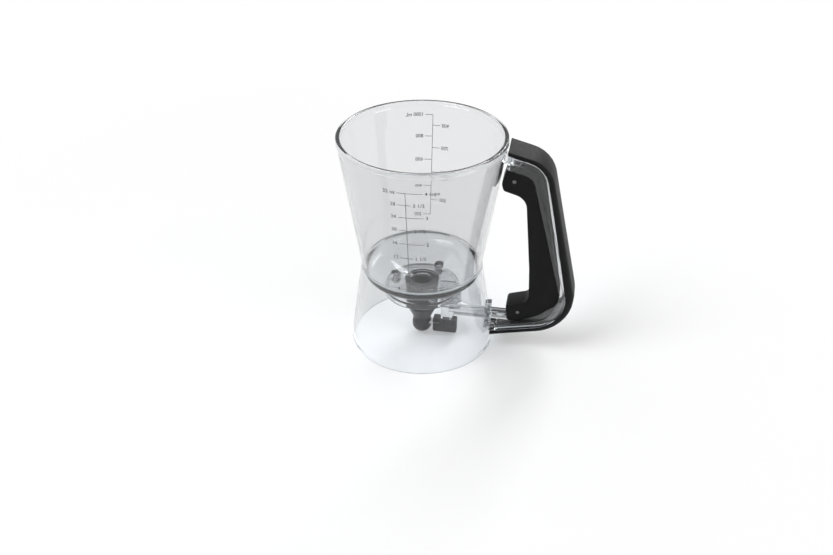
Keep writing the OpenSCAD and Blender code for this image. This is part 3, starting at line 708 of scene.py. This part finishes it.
# ---- Screws ----
# Stainless pan-head screws with a hexagonal drive: three hold the plate, and two pass from inside
# the skirt through its pad into the handle's end wall.
head_h, drive_r, thread_pitch, thread_h = 2.0, 1.3, 0.6, 0.08
steel = speckled("stainless steel", 4, (0.56, 0.56, 0.57), (0.66, 0.66, 0.66), (0.22, 0.36), 1.2,
                 Metallic=1.0)


def screw(centre, length, axis):
    """A screw whose head sits at centre and whose shank runs length along the axis, with a thread
    drawn as a fine wave of its radius."""
    h = np.arange(thread_pitch, length - 0.5, 0.1)
    thread = np.stack([screw_r - 0.09 + thread_h * np.sin(2 * np.pi * h / thread_pitch), h], 1)
    head = rounded([(0, -head_h, 0), (head_r, -head_h, 0.8), (head_r, 0, 0.2), (screw_r - 0.05, 0, 0)],
                   closed=False)
    outline = np.concatenate([head, thread, [(screw_r - 0.6, length), (0, length)]])
    piece = turned("screw", outline, centre, axis, 40, closed=False)
    corner = np.radians(np.arange(6) * 60.0)
    hexagon = drive_r * np.stack([np.cos(corner), np.sin(corner)], 1)
    across = {"X": (centre[1], centre[2]), "Z": (centre[0], centre[1])}[axis]
    start = {"X": centre[0], "Z": centre[2]}[axis] - head_h
    drive = slab(hexagon + across, start - 1, start + head_h / 2, 0.0, axis)
    return cut(piece, drive)


def grouped(pieces, name):
    """The pieces joined into one mesh object, with a plain name."""
    work = bmesh.new()
    for piece in pieces:
        work.from_mesh(piece.data)
        bpy.data.objects.remove(piece)
    mesh = bpy.data.meshes.new(name)
    work.to_mesh(mesh)
    work.free()
    return tidied(placed(name, mesh))


plate_screw_length = plate_t + screw_depth - 0.5
plate_screws = grouped(
    [screw((x, y, plate_z), plate_screw_length, "Z") for x, y in screw_places], "pan_screws"
)
dress(plate_screws, steel, "vessel", "steel", "plate_screws")
head_stand, frame_screw_depth = 0.9, 3.0
screw_head_x = skirt_r(frame_screw_z) - skirt_wall - head_stand
frame_screw_length = arm_x + frame_screw_depth - screw_head_x
frame_screws = grouped([
    screw((screw_head_x, side * frame_screw_y, frame_screw_z), frame_screw_length, "X") for side in (-1, 1)
], "handle_screws")
dress(frame_screws, steel, "vessel", "steel", "frame_screws")

# ---- Handle frame ----
# A clear channel with its web outside and a flange on each side. It hooks over the cup's lug at the
# top, is screwed to the skirt's pad at the bottom, and two lugs inside it hold the trigger's pin.
handle_top_z = rim_z - 5.8
shoulder_corner, shoulder_bend = (rim_r + 29.4, rim_z - 14.2), 22.0
lower_corner, corner_bend = (rim_r + 56.0, 28.6), 28.0
frame_half, flange_t, web_t, soft_skin = 11.5, 2.1, 2.2, 2.3
back_line = rounded([
    (hook_x, handle_top_z, 0), (*shoulder_corner, shoulder_bend),
    (*lower_corner, corner_bend), (arm_x, arm_z, 0),
], closed=False, step=2.5)
tangent = unit(np.gradient(back_line, axis=0))
outward = np.stack([-tangent[:, 1], tangent[:, 0]], 1)
distance = np.concatenate([[0], np.cumsum(np.linalg.norm(np.diff(back_line, axis=0), axis=1))])


def nearest(point):
    """Distance along the back line of its point nearest to (x, z)."""
    return distance[np.argmin(np.linalg.norm(back_line - point, axis=1))]


def arc_ends(before, corner, after, bend):
    """The two points where a corner's arc leaves its sides."""
    before, corner, after = (np.array(p, float) for p in (before, corner, after))
    u, v = unit(before - corner), unit(after - corner)
    run = bend / np.tan(np.arccos(u @ v) / 2)
    return corner + u * run, corner + v * run


shoulder_ends = arc_ends((hook_x, handle_top_z), shoulder_corner, lower_corner, shoulder_bend)
corner_ends = arc_ends(shoulder_corner, lower_corner, (arm_x, arm_z), corner_bend)
at_shoulder, at_straight = (nearest(p) for p in shoulder_ends)
at_corner, at_arm = (nearest(p) for p in corner_ends)
at_end = distance[-1]
in_corner = at_corner + (at_arm - at_corner) * np.array([2, 3]) / 9
# Along the back line: how far the grip stands out, and how far the flanges and their steps reach in.
grip_depth = np.interp(distance, [0, at_shoulder, at_straight, at_corner, at_arm, at_end],
                       [soft_skin, 2.6, 4.0, 6.5, 3.0, soft_skin])
flange_depth = np.interp(distance, [0, at_shoulder, at_straight, at_corner, in_corner[1], at_arm, at_end],
                         [12.3, 12.5, 11, 5, 7, 5.2, 4.6])
step_depth = np.interp(distance, [0, at_shoulder, at_straight, at_corner, at_arm], [5.4, 6.0, 7.7, 1.0, 0.3])
web_depth = np.maximum(0, grip_depth - soft_skin)


def swept(name, depth, across):
    """A section carried along the back line: at each place a point stands depth out along the line's
    normal and across to the side, both as grids of place by point."""
    flat = back_line[:, None] + outward[:, None] * depth[..., None]
    grid = np.stack([flat[..., 0], np.broadcast_to(across, depth.shape), flat[..., 1]], -1)
    return solid(name, grid, wrap=(False, True), caps=True)


flange_in, flange_step = frame_half - flange_t, 0.45
step_in = frame_half - flange_step
nominal, half_way = 10.0, 5.0
section = rounded([
    (-nominal, step_in, 0.5), (-half_way - 0.5, step_in, 0.15),
    (-half_way, frame_half, 0.15), (0, frame_half, 0.9),
    (0, -frame_half, 0.9), (-half_way, -frame_half, 0.15),
    (-half_way - 0.5, -step_in, 0.15), (-nominal, -step_in, 0.5),
    (-nominal, -flange_in, 0.7), (-web_t, -flange_in, 0.8),
    (-web_t, flange_in, 0.8), (-nominal, flange_in, 0.7),
])
near_edge = np.clip(-(section[:, 0] + web_t) / (nominal - web_t), 0, 1)
inner_depth = section[None, :, 0] + web_depth[:, None] * (1 - near_edge)
inner_depth = inner_depth - (flange_depth[:, None] - nominal) * near_edge
past_step = np.clip(-section[:, 0] / half_way - 1, 0, 1)
before_step = np.clip(-section[:, 0] / half_way, 0, 1)
outer_depth = web_depth[:, None] - (step_depth + web_depth)[:, None] * before_step
outer_depth = outer_depth - (flange_depth - step_depth)[:, None] * past_step
outer_face = np.abs(section[:, 1]) > step_in - 0.05
depth = np.where(outer_face, outer_depth, inner_depth)
channel = swept("handle_channel", depth, section[:, 1])
for end_x, low_z, high_z in ((hook_x, 150, 190), (arm_x, 0, 30)):
    channel = cut(channel, bar((end_x - 15, -20, low_z), (end_x, 20, high_z), 0.0))
end_t, end_half = 4.0, frame_half - 0.3
hook_wall = bar((hook_x, -end_half, lug_z[0] - 1), (hook_x + hook_t, end_half, handle_top_z - 1.4), 0.3)
channel = merged(channel, hook_wall)
foot_wall = bar((arm_x, -end_half, arm_z + 0.8), (arm_x + end_t, end_half, pad_z[1]), 0.3)
channel = merged(channel, foot_wall)
notch = bar((hook_x - 1, -lug_neck - lug_play, lug_z[0] - 2),
            (hook_x + hook_t + 1, lug_neck + lug_play, lug_z[1] + lug_play), 0.2)
channel = cut(channel, notch)

pivot_x, pivot_z = (np.array(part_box("pivot_pin")).mean(0) / MM)[[0, 2]]
pin_r, pin_play, lug_r, lug_in, lug_out = 1.5, 0.03, 4.2, 3.0, 5.6
lug_web_z, lug_bend = handle_top_z - web_t - 1, lug_r - 0.1
lug_web_x = (pivot_x - 0.2, pivot_x + 8)
lug_side = rounded([
    (pivot_x - lug_r, pivot_z - lug_r, lug_bend), (pivot_x - lug_r, pivot_z + 4, 1.5),
    (lug_web_x[0], lug_z[0] + 1, 1.0), (lug_web_x[0], lug_web_z, 0), (lug_web_x[1], lug_web_z - 2, 0),
    (lug_web_x[1], lug_z[0], 2.0), (pivot_x + lug_r, pivot_z + 2, 2.0),
    (pivot_x + lug_r, pivot_z - lug_r, lug_bend),
])
for side in (-1, 1):
    low, high = sorted((side * lug_in, side * lug_out))
    channel = merged(channel, slab(lug_side, low, high, 0.2))
channel = cut(channel, bore((pivot_x, 0, pivot_z), pin_r + pin_play, 30, "Y"))
channel = screw_holed(channel, 7)
clear_handle = clear_plastic("clear handle plastic", density=60.0)
dress(channel, clear_handle, "vessel", "clear_plastic", "handle_frame")

# ---- Grip ----
# Soft black rubber moulded over the back and top of the frame. It is crowned across, has round
# edges, and stops at the frame's flanges, so the clear sides stay bare.
grip_half, grip_seat, crown, widest_bend = 14.0, 0.15, 0.5, 4.5
turn = np.radians(np.linspace(0, 90, 9))
bend = np.minimum(grip_depth - 0.4, widest_bend)[:, None]
round_depth = grip_depth[:, None] - bend + bend * np.sin(turn)
round_across = grip_half - bend + bend * np.cos(turn)
top_share = np.linspace(1, 0, 7)[1:]
top_across = (grip_half - bend) * top_share
top_depth = grip_depth[:, None] + crown * (1 - top_share**2)
half_depth = np.concatenate([round_depth, top_depth], 1)
half_across = np.concatenate([round_across, top_across], 1)
seat = web_depth[:, None] + grip_seat
ones = np.ones_like(seat)
lip_ease, edge_ease, edge_in = 0.35, 0.3, frame_half + 0.1
lip_depth = np.concatenate([ones * (lip_ease, 0, 0, edge_ease), seat], 1)
lip_across = ones * (grip_half, grip_half - lip_ease, edge_in + edge_ease, edge_in, edge_in)
depth = np.concatenate([lip_depth[:, ::-1][:, 1:], half_depth, half_depth[:, -2::-1], lip_depth[:, 1:]], 1)
across = np.concatenate(
    [lip_across[:, ::-1][:, 1:], half_across, -half_across[:, -2::-1], -lip_across[:, 1:]], 1
)
depth[:, 0], depth[:, -1] = seat[:, 0], seat[:, 0]
grip = swept("soft_grip", depth, across)
black, faded_black = (0.003, 0.003, 0.0035), (0.005, 0.005, 0.0055)
soft_black = speckled(
    "soft-touch rubber", 14, black, faded_black, (0.48, 0.54),
    Sheen_Weight=0.02, Sheen_Roughness=0.45, Specular_IOR_Level=0.14,
)
grain(soft_black, 0.45, 0.02)
dress(grip, soft_black, "vessel", "soft_grip", "grip")

# ---- Trigger ----
# A hollow black moulding, open towards the frame's web. The fingers pull its front wall, and its two
# cheeks carry the pivot pin at the top and the link pin at the foot.
link_pin_x, link_pin_z = (np.array(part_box("link_pin")).mean(0) / MM)[[0, 2]]
trigger_half, cheek_in, trigger_wall = 8.8, 6.3, 2.2
finger_bend = trigger_wall + 1
trigger_depth = np.interp(distance, [0, at_shoulder, at_straight, at_corner, in_corner[0]],
                          [8, 7, 4, 4.3, 5.5])
finger_corners = [
    (hook_x - 0.7, lug_z[0] - 3.5, 0),
    (pivot_x - 9.4, pivot_z - 2.9, 8), (pivot_x - 7.8, pivot_z - 8.6, finger_bend),
    (pivot_x + 9.6, pivot_z - 13.9, 12),
    (link_pin_x + 6.8, link_pin_z + 41, 30), (link_pin_x + 8.1, link_pin_z + 11.6, 5),
    (link_pin_x - 9.9, link_pin_z + 6.4, finger_bend), (link_pin_x - 8.5, link_pin_z - 9.3, finger_bend),
    (link_pin_x + 0.2, link_pin_z - 8.9, 20), (link_pin_x + 16.7, link_pin_z - 1.7, 14),
    (link_pin_x + 26.3, link_pin_z + 7.1, 0),
]
finger_line = rounded(finger_corners, closed=False, step=2.0)
facing_in = np.gradient(finger_line, axis=0)
facing_in = unit(np.stack([-facing_in[:, 1], facing_in[:, 0]], 1))
behind = (distance > at_shoulder * 0.7) & (distance <= in_corner[0] + 0.1)
trigger_back = (back_line - outward * trigger_depth[:, None])[behind][::-1]
trigger_outline = np.concatenate([finger_line, trigger_back, [(pivot_x, lug_z[0] - 1.2)]])
soft_edge, hard_edge = 1.5, 0.35
edge_round = np.full(len(trigger_outline), hard_edge)
edge_round[2:len(finger_line) - 2] = soft_edge
trigger = slab(trigger_outline, -trigger_half, trigger_half, edge_round, name="trigger_moulding")
open_back = (back_line - outward * (trigger_depth - 1)[:, None])[behind & (distance <= at_corner)][::-1]
hollow_front = finger_line + facing_in * trigger_wall
run_out = hollow_front[-1] + 4 * unit(hollow_front[-1] - hollow_front[-2])
hollow = np.concatenate([hollow_front, [run_out], open_back, [(pivot_x - lug_r, lug_z[1])]])
trigger = cut(trigger, slab(hollow, -cheek_in, cheek_in, 0.0))
for x, z in ((pivot_x, pivot_z), (link_pin_x, link_pin_z)):
    trigger = cut(trigger, bore((x, 0, z), pin_r + 0.05, 30, "Y"))
notch_in, notch_out, notch_half = 14, 1, link_half + 0.6
foot_notch = bar((link_pin_x - notch_in, -notch_half, link_z - link_h),
                 (link_pin_x + notch_out, notch_half, link_z + link_h / 2 + 1), 0.3)
trigger = cut(trigger, foot_notch)
matte_black = speckled("matte black plastic", 9, black, faded_black, (0.38, 0.45), Specular_IOR_Level=0.13)
grain(matte_black, 0.35, 0.015)
dress(trigger, matte_black, "trigger", "trigger_black", "trigger")

# ---- Pins and washers ----
# Dull steel pins with domed ends, just proud of the trigger's cheeks. Natural nylon washers space
# the cheeks from the frame's lugs and from the link's head.
pin_half, pin_dome = 8.9, 0.35


def pin(name, r, half, centre, dome):
    """A round pin across the handle, with domed ends."""
    outline = [(0, -half, 0), (r, -half, dome), (r, half, dome), (0, half, 0)]
    return turned(name, rounded(outline, closed=False, step=1.0), centre, "Y", 40, closed=False)


pin_steel = speckled("dull steel", 3, (0.13, 0.13, 0.13), (0.18, 0.18, 0.18), Metallic=1.0, Roughness=0.42)
pivot_pin = pin("pivot_axle", pin_r, pin_half, (pivot_x, 0, pivot_z), pin_dome)
dress(pivot_pin, pin_steel, "vessel", "steel", "pivot_pin")
link_pin = pin("link_axle", pin_r, pin_half, (link_pin_x, 0, link_pin_z), pin_dome)
dress(link_pin, pin_steel, "trigger", "steel", "link_pin")
nylon = speckled("natural nylon", 2, (0.62, 0.61, 0.56), (0.70, 0.69, 0.64),
                 Roughness=0.45, Subsurface_Weight=0.3)
washer_out, washer_in, washer_half = 3.4, 1.6, 0.25


def washers(name, x, z, inner_face):
    """Two washers between a face at inner_face from the middle and the trigger's cheeks."""
    outline = rounded([(washer_in, -washer_half, 0.08), (washer_out, -washer_half, 0.15),
                       (washer_out, washer_half, 0.15), (washer_in, washer_half, 0.08)])
    middle = (inner_face + cheek_in) / 2
    return grouped([turned("washer", outline, (x, side * middle, z), "Y", 48) for side in (-1, 1)], name)


dress(washers("pivot_spacers", pivot_x, pivot_z, lug_out), nylon, "vessel", "nylon", "pivot_washers")
link_spacers = washers("link_spacers", link_pin_x, link_pin_z, lug_out - 0.1)
dress(link_spacers, nylon, "trigger", "nylon", "link_washers")

# ---- Return spring ----
# Spring steel wire, wound round the pivot pin between the lugs. One arm bears on the frame's web and
# the other inside the trigger's front wall.
wire_r, coil_r, coil_pitch = 0.5, 2.95, 1.12
web_arm_a, finger_arm_a, web_arm, finger_arm = 40, -42, 12, 11
coils, coil_steps, arm_steps = 4, 200, 8
coil_span = np.radians(360 * coils + web_arm_a - finger_arm_a - 180)
start_a = np.radians(finger_arm_a + 90)
angle = start_a - np.linspace(0, coil_span, coil_steps)
rise = (np.linspace(0, 1, coil_steps) - 0.5) * coil_pitch * coil_span / (2 * np.pi)
coil = np.stack([pivot_x + coil_r * np.cos(angle), rise, pivot_z + coil_r * np.sin(angle)], 1)
ways = np.stack([np.sin(angle[[0, -1]]), 0 * angle[[0, -1]], -np.cos(angle[[0, -1]])], 1)
first = coil[0] + ways[0] * np.linspace(finger_arm, 0.4, arm_steps)[:, None]
last = coil[-1] + ways[1] * np.linspace(0.4, web_arm, arm_steps)[:, None]
wire = np.concatenate([first, coil, last])
along = unit(np.gradient(wire, axis=0))
side = unit(np.cross(along, [0, 1, 0]))
over = np.cross(along, side)
turn = np.linspace(0, 2 * np.pi, 12, endpoint=False)[None, :, None]
spring = solid(
    "trigger_spring",
    wire[:, None] + wire_r * (np.cos(turn) * side[:, None] + np.sin(turn) * over[:, None]),
    wrap=(False, True), caps=True,
)
dress(spring, steel, "vessel", "steel", "return_spring")

# ---- Link bush ----
# A clear, slightly hazy guide pressed into the skirt's slot, with a flange outside that follows the
# skirt's round.
bush_in, bush_out, bush_play, flange_w = 1.5, 1.6, 0.1, 2.0
flange_stand, round_z = 0.15, (10, 44)
bush_face = skirt_r(bush_z[0] + bush_t)
bush_x = (bush_face - skirt_wall - bush_in, bush_face + bush_out)
bush = bar((bush_x[0], bush_play - bush_half, bush_z[0] + bush_play),
           (bush_x[1], bush_half - bush_play, bush_z[1] - bush_play), 0.3)
flange = bar((skirt_r(bush_z[1] + bush_t) - 1, -bush_half - flange_w, bush_z[0]),
             (bush_x[1], bush_half + flange_w, bush_z[1] + bush_t), 0.5)
outer = skirt_side(flange_stand, *round_z)[:, :2]
round_side = np.concatenate([[(0, round_z[0])], outer, [(0, round_z[1])]])
bush = merged(bush, cut(flange, turned("skirt_round", round_side, closed=False)))
throat = bar((bush_x[0] - 2, -link_half - guide_gap, bush_z[0] + bush_t),
             (bush_x[1] + 2, link_half + guide_gap, bush_z[1] - bush_t), 0.1)
bush = cut(bush, throat)
clear_bush = clear_plastic("clear bush plastic", density=90.0, haze=(0.06, 0.16))
dress(bush, clear_bush, "vessel", "clear_link", "link_bush")

# ---- Pull link ----
# A clear moulded bar from the trigger's foot into the skirt. Its head has an upright slot for the
# link pin, and its leg reaches down to the gate arm and ends in a tongue.
arm_low, arm_high = blade_z - 8, blade_z + 4.3
leg_x, leg_foot_x, leg_foot_z, leg_half = (16.0, 30.0), (16.0, 24.5), arm_high + 0.1, 3.0
tongue_x, tongue_half, tongue_low = (leg_foot_x[0] + 1.5, leg_foot_x[1] - 1.5), 2.0, blade_z - 4
head_half = lug_out - 0.1
head_reach, head_down, head_up = 5, 3.7, 4.5
head_x = (link_pin_x - head_reach, link_pin_x + head_reach)
head_z = (link_pin_z - head_down, link_pin_z + head_up)
bar_z = (link_z - link_h / 2, link_z + link_h / 2)
runner_low, runner_high = runner_z - link_h / 2, runner_z + link_h / 2
riser_x = (head_x[0], link_pin_x - 1)
link = slab(rounded([
    (leg_foot_x[1] - 2, bar_z[0], 0.5), (riser_x[1], bar_z[0], 3.0), (riser_x[1], head_z[0] + 1, 0.3),
    (riser_x[0], head_z[0] + 1, 0.3), (riser_x[0], bar_z[1], 0.4), (leg_foot_x[1] - 2, bar_z[1], 0.5),
]), -link_half, link_half, 0.4)
runner = bar((leg_x[0], -link_half, runner_low), (leg_x[1], link_half, runner_high), 0.4)
leg = slab(rounded([
    (leg_x[0], runner_high - 0.6, 0.3), (leg_foot_x[0], leg_foot_z, 0.8), (leg_foot_x[1], leg_foot_z, 0.8),
    (leg_x[1], runner_low, 1.0), (leg_x[1], runner_high - 0.6, 0.3),
]), -leg_half, leg_half, 0.3)
head = slab(rounded([
    (head_x[0], head_z[0], 0.6), (head_x[1], head_z[0], 3.0),
    (head_x[1], head_z[1], 3.0), (head_x[0], head_z[1], 0.6),
]), -head_half, head_half, 0.5)
link = merged(merged(link, merged(runner, leg)), head)
tongue = bar((tongue_x[0], -tongue_half, tongue_low), (tongue_x[1], tongue_half, leg_foot_z + 1), 0.4)
link = merged(link, tongue)
arm_pin_x, arm_pin_z = (np.array(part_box("arm_pin")).mean(0) / MM)[[0, 2]]
slot_half, slot_down, slot_up = pin_r + 0.1, 0.5, 1.2
slot_x = (link_pin_x - slot_half, link_pin_x + slot_half)
slot_z = (link_pin_z - slot_down - slot_half, link_pin_z + slot_up + slot_half)
slot_bend = slot_half - 0.01
slot = slab(rounded([
    (slot_x[0], slot_z[0], slot_bend), (slot_x[1], slot_z[0], slot_bend),
    (slot_x[1], slot_z[1], slot_bend), (slot_x[0], slot_z[1], slot_bend),
]), -12, 12, 0.0)
link = cut(link, slot)
arm_pin_r = 1.25
link = cut(link, bore((arm_pin_x, 0, arm_pin_z), arm_pin_r + pin_play, 20, "Y"))
clear_link = clear_plastic("clear link plastic", density=55.0)
dress(link, clear_link, "gate", "clear_link", "pull_link")

# ---- Gate arm, pin and blade ----
# A dark moulded block that hangs from the tongue of the link's leg by a small steel pin, and holds
# the steel blade that slides into the nozzle's pocket and shuts its bore.
arm_from_x, arm_to_x, arm_half = bulb_r + 1.4, 29.0, 4.0
arm = bar((arm_from_x, -arm_half, arm_low), (arm_to_x, arm_half, arm_high), 0.7, bend=1.6)
blade_end_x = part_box("gate_blade")[1][0] / MM
blade_play, socket_play, tail_half = 0.03, 0.1, blade_half - 1
groove = bar((arm_from_x - 2, -arm_half - 1, blade_z - blade_t / 2 - blade_play),
             (blade_end_x + 0.1, tail_half + 0.05, blade_z + blade_t / 2 + blade_play), 0.0)
arm = cut(arm, groove)
socket = bar((tongue_x[0] - socket_play, -tongue_half - socket_play, tongue_low - socket_play),
             (tongue_x[1] + socket_play, tongue_half + socket_play, arm_high + 2), 0.2)
arm = cut(arm, socket)
arm = cut(arm, bore((arm_pin_x, 1, arm_pin_z), arm_pin_r + pin_play, 2 * arm_half, "Y"))
arm_plastic = speckled("dark arm plastic", 7, (0.005, 0.005, 0.006), (0.008, 0.008, 0.009), (0.28, 0.42),
                       Specular_IOR_Level=0.15)
grain(arm_plastic, 0.5, 0.015)
dress(arm, arm_plastic, "gate", "arm_grey", "gate_arm")

arm_pin = pin("arm_axle", arm_pin_r, arm_half - 0.7, (arm_pin_x, 0.4, arm_pin_z), 0.25)
dress(arm_pin, steel, "gate", "steel", "arm_pin")
step_x = arm_from_x - 0.2
blade_side = rounded([
    (blade_tip_x, -blade_half, 1.2), (step_x, -blade_half, 0), (step_x, -tail_half, 0),
    (blade_end_x, -tail_half, 0.3), (blade_end_x, tail_half, 0.3), (step_x, tail_half, 0),
    (step_x, blade_half, 0), (blade_tip_x, blade_half, 1.2),
])
blade = slab(blade_side, blade_z - blade_t / 2, blade_z + blade_t / 2, 0.2, "Z", "blade")
brushed = speckled("brushed steel", 4, (0.58, 0.58, 0.59), (0.68, 0.68, 0.68), (0.25, 0.4), 2,
                   Metallic=1.0, Anisotropic=0.5)
grain(brushed, 0.5, 0.01, stretch=(0.06, 1, 1))
dress(blade, brushed, "gate", "steel", "gate_blade")
